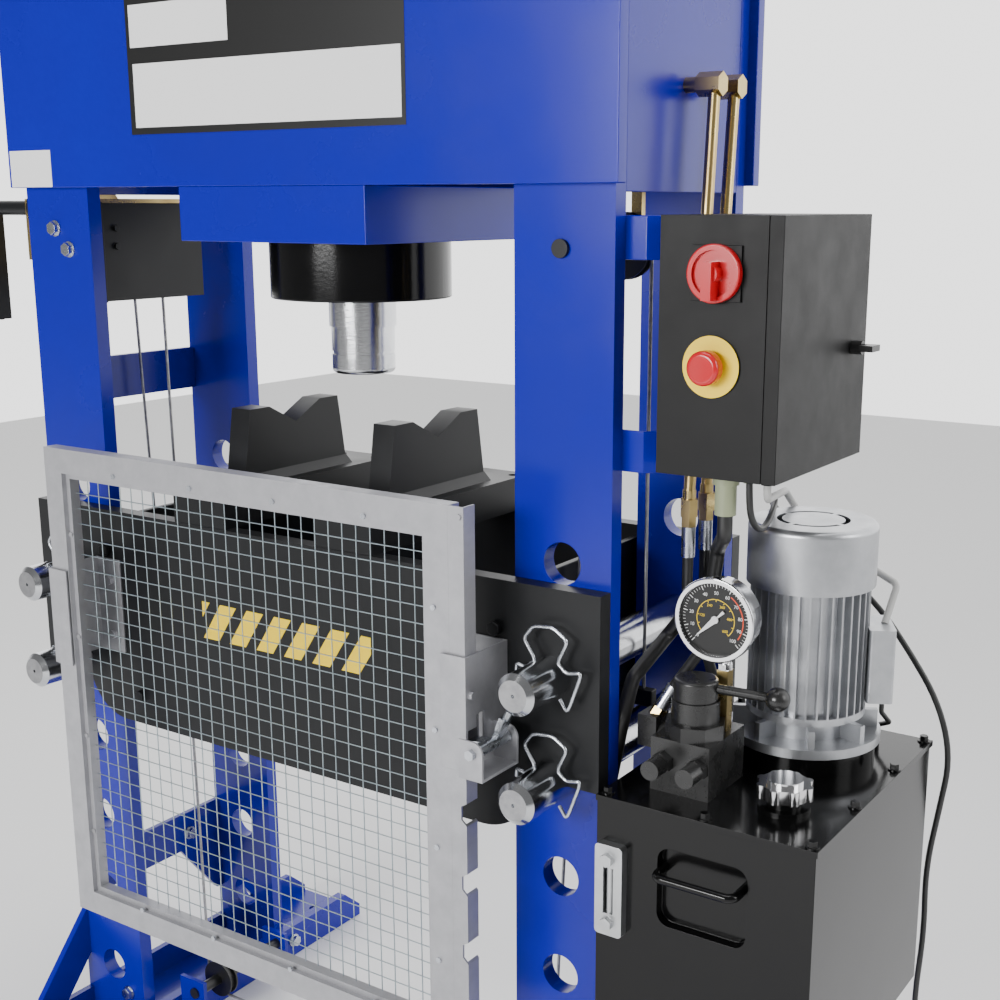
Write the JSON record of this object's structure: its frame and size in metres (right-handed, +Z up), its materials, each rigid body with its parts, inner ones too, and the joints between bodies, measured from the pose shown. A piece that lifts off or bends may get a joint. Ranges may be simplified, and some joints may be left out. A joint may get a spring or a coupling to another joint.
{
  "type": "workshop press",
  "caption": "Electro-hydraulic workshop press: portal frame, ram, adjustable bed on pins, V blocks, sliding mesh guard, control box, oil tank with motor, valve and gauge, and bed winch.",
  "frame": {"origin": "on the floor under the axis of the ram, at the centre of the four floor bolt holes", "axes": "+X to the tank side, +Y to the back, +Z up"},
  "size_m": [1.7109, 0.786, 1.907],
  "materials": {
    "blue_paint": "gloss royal blue paint",
    "black_paint": "satin black paint",
    "ground_steel": "turned and ground steel",
    "zinc_steel": "bright zinc plated steel",
    "yellow_zinc": "yellow zinc plated steel",
    "guard_metal": "silver painted aluminium bar",
    "mesh_wire": "galvanised welded wire",
    "motor_metal": "silver cast aluminium",
    "red_plastic": "gloss red plastic",
    "black_rubber": "black rubber hose",
    "black_plastic": "black plastic",
    "polished_metal": "polished metal",
    "white_plastic": "painted pointer",
    "wire_rope": "steel wire rope"
  },
  "bodies": {
    "frame": {"front_post_left": "blue_paint", "front_post_right": "blue_paint", "rear_post_left": "blue_paint", "rear_post_right": "blue_paint", "head_front_plate": "blue_paint", "head_rear_plate": "blue_paint", "side_plates": "blue_paint", "foot_left": "blue_paint", "foot_right": "blue_paint", "frame_bolts": "zinc_steel", "ram_carriage": "blue_paint", "cylinder_barrel": "black_paint", "ram_collar": "black_paint", "bed_front_plate": "black_paint", "bed_rear_plate": "black_paint", "bed_spacers": "black_paint", "v_blocks": "black_paint", "guard_guides": "guard_metal", "control_box": "black_paint", "side_brackets": "blue_paint", "pressure_pipes": "yellow_zinc", "hose_fittings": "zinc_steel", "hoses": "black_rubber", "cables": "black_rubber", "tank_body": "black_paint", "tank_lid": "black_paint", "tank_handle": "polished_metal", "level_gauge": "polished_metal", "motor_body": "motor_metal", "fan_cowl": "motor_metal", "valve_block": "black_paint", "gauge_case": "polished_metal", "winch_mounts": "yellow_zinc", "winch_cover": "black_paint", "lift_ropes": "wire_rope", "mains_lead": "black_rubber", "lead_coil": "black_rubber", "lead_plug": "black_plastic"},
    "ram": {"ram_piston": "ground_steel"},
    "pin_ul": {"pin_upper_left": "ground_steel"},
    "pin_ur": {"pin_upper_right": "ground_steel"},
    "pin_ll": {"pin_lower_left": "ground_steel"},
    "pin_lr": {"pin_lower_right": "ground_steel"},
    "gate": {"guard_frame": "guard_metal", "guard_mesh": "mesh_wire", "guard_rail": "guard_metal"},
    "latch": {"latch_pawl": "zinc_steel"},
    "door": {"box_door": "black_paint"},
    "lock": {"door_lock": "black_plastic"},
    "handle": {"switch_handle": "red_plastic"},
    "stop": {"estop_button": "red_plastic"},
    "cap": {"filler_cap": "polished_metal"},
    "fan": {"motor_fan": "black_plastic"},
    "lever": {"valve_lever": "black_paint"},
    "pointer": {"gauge_pointer": "white_plastic"},
    "drum": {"winch_drum": "yellow_zinc"},
    "crank": {"winch_crank": "zinc_steel"},
    "head_wheel": {"rope_pulley": "black_plastic"},
    "low_wheel_left": {"low_pulley_left": "black_plastic"},
    "low_wheel_right": {"low_pulley_right": "black_plastic"}
  },
  "joints": [
    {"name": "ram_slide", "type": "slide", "parent": "frame", "child": "ram", "axis": [0, 0, -1], "range_m": [0, 0.25]},
    {"name": "pin_upper_left_slide", "type": "slide", "parent": "frame", "child": "pin_ul", "axis": [0, -1, 0], "range_m": [0, 0.35]},
    {"name": "pin_upper_right_slide", "type": "slide", "parent": "frame", "child": "pin_ur", "axis": [0, -1, 0], "range_m": [0, 0.35]},
    {"name": "pin_lower_left_slide", "type": "slide", "parent": "frame", "child": "pin_ll", "axis": [0, -1, 0], "range_m": [0, 0.35]},
    {"name": "pin_lower_right_slide", "type": "slide", "parent": "frame", "child": "pin_lr", "axis": [0, -1, 0], "range_m": [0, 0.35]},
    {"name": "gate_slide", "type": "slide", "parent": "frame", "child": "gate", "axis": [0, 0, 1], "range_m": [0, 0.408]},
    {"name": "latch_turn", "type": "hinge", "parent": "frame", "child": "latch", "pos_m": [0.436, -0.28, 0.798], "axis": [0, 1, 0], "range_deg": [0, 35]},
    {"name": "door_hinge", "type": "hinge", "parent": "frame", "child": "door", "pos_m": [0.7634, -0.18, 1.3235], "axis": [0, 0, -1], "range_deg": [0, 110]},
    {"name": "lock_turn", "type": "hinge", "parent": "door", "child": "lock", "pos_m": [0.782, 0.05, 1.312], "axis": [1, 0, 0], "range_deg": [0, 90]},
    {"name": "switch_turn", "type": "hinge", "parent": "frame", "child": "handle", "pos_m": [0.699, -0.19, 1.413], "axis": [0, 1, 0], "range_deg": [0, 90]},
    {"name": "stop_press", "type": "slide", "parent": "frame", "child": "stop", "axis": [0, 1, 0], "range_m": [0, 0.004], "stiffness_N_per_m": 800},
    {"name": "cap_turn", "type": "hinge", "parent": "frame", "child": "cap", "pos_m": [0.789, -0.126, 0.76], "axis": [0, 0, 1], "continuous": true},
    {"name": "fan_spin", "type": "hinge", "parent": "frame", "child": "fan", "pos_m": [0.733, 0.068, 1.02], "axis": [0, 0, 1], "continuous": true},
    {"name": "lever_turn", "type": "hinge", "parent": "frame", "child": "lever", "pos_m": [0.66, -0.127, 0.87], "axis": [0, 0, 1], "range_deg": [-40, 12]},
    {"name": "pointer_turn", "type": "hinge", "parent": "frame", "child": "pointer", "pos_m": [0.673, -0.105, 0.965], "axis": [0, 1, 0], "range_deg": [0, 270], "stiffness_Nm_per_rad": 0.02},
    {"name": "drum_spin", "type": "hinge", "parent": "frame", "child": "drum", "pos_m": [-0.52, -0.04, 1.45], "axis": [1, 0, 0], "continuous": true},
    {"name": "crank_spin", "type": "hinge", "parent": "frame", "child": "crank", "pos_m": [-0.55, -0.14, 1.485], "axis": [1, 0, 0], "continuous": true},
    {"name": "head_wheel_spin", "type": "hinge", "parent": "frame", "child": "head_wheel", "pos_m": [0.48, -0.02, 1.437], "axis": [0, 1, 0], "continuous": true},
    {"name": "low_wheel_left_spin", "type": "hinge", "parent": "frame", "child": "low_wheel_left", "pos_m": [-0.352, -0.045, 0.08], "axis": [0, 1, 0], "continuous": true},
    {"name": "low_wheel_right_spin", "type": "hinge", "parent": "frame", "child": "low_wheel_right", "pos_m": [0.352, -0.045, 0.08], "axis": [0, 1, 0], "continuous": true}
  ],
  "couplings": [
    {"joint": "crank_spin", "follows": "drum_spin", "ratio": -4.2774}
  ]
}
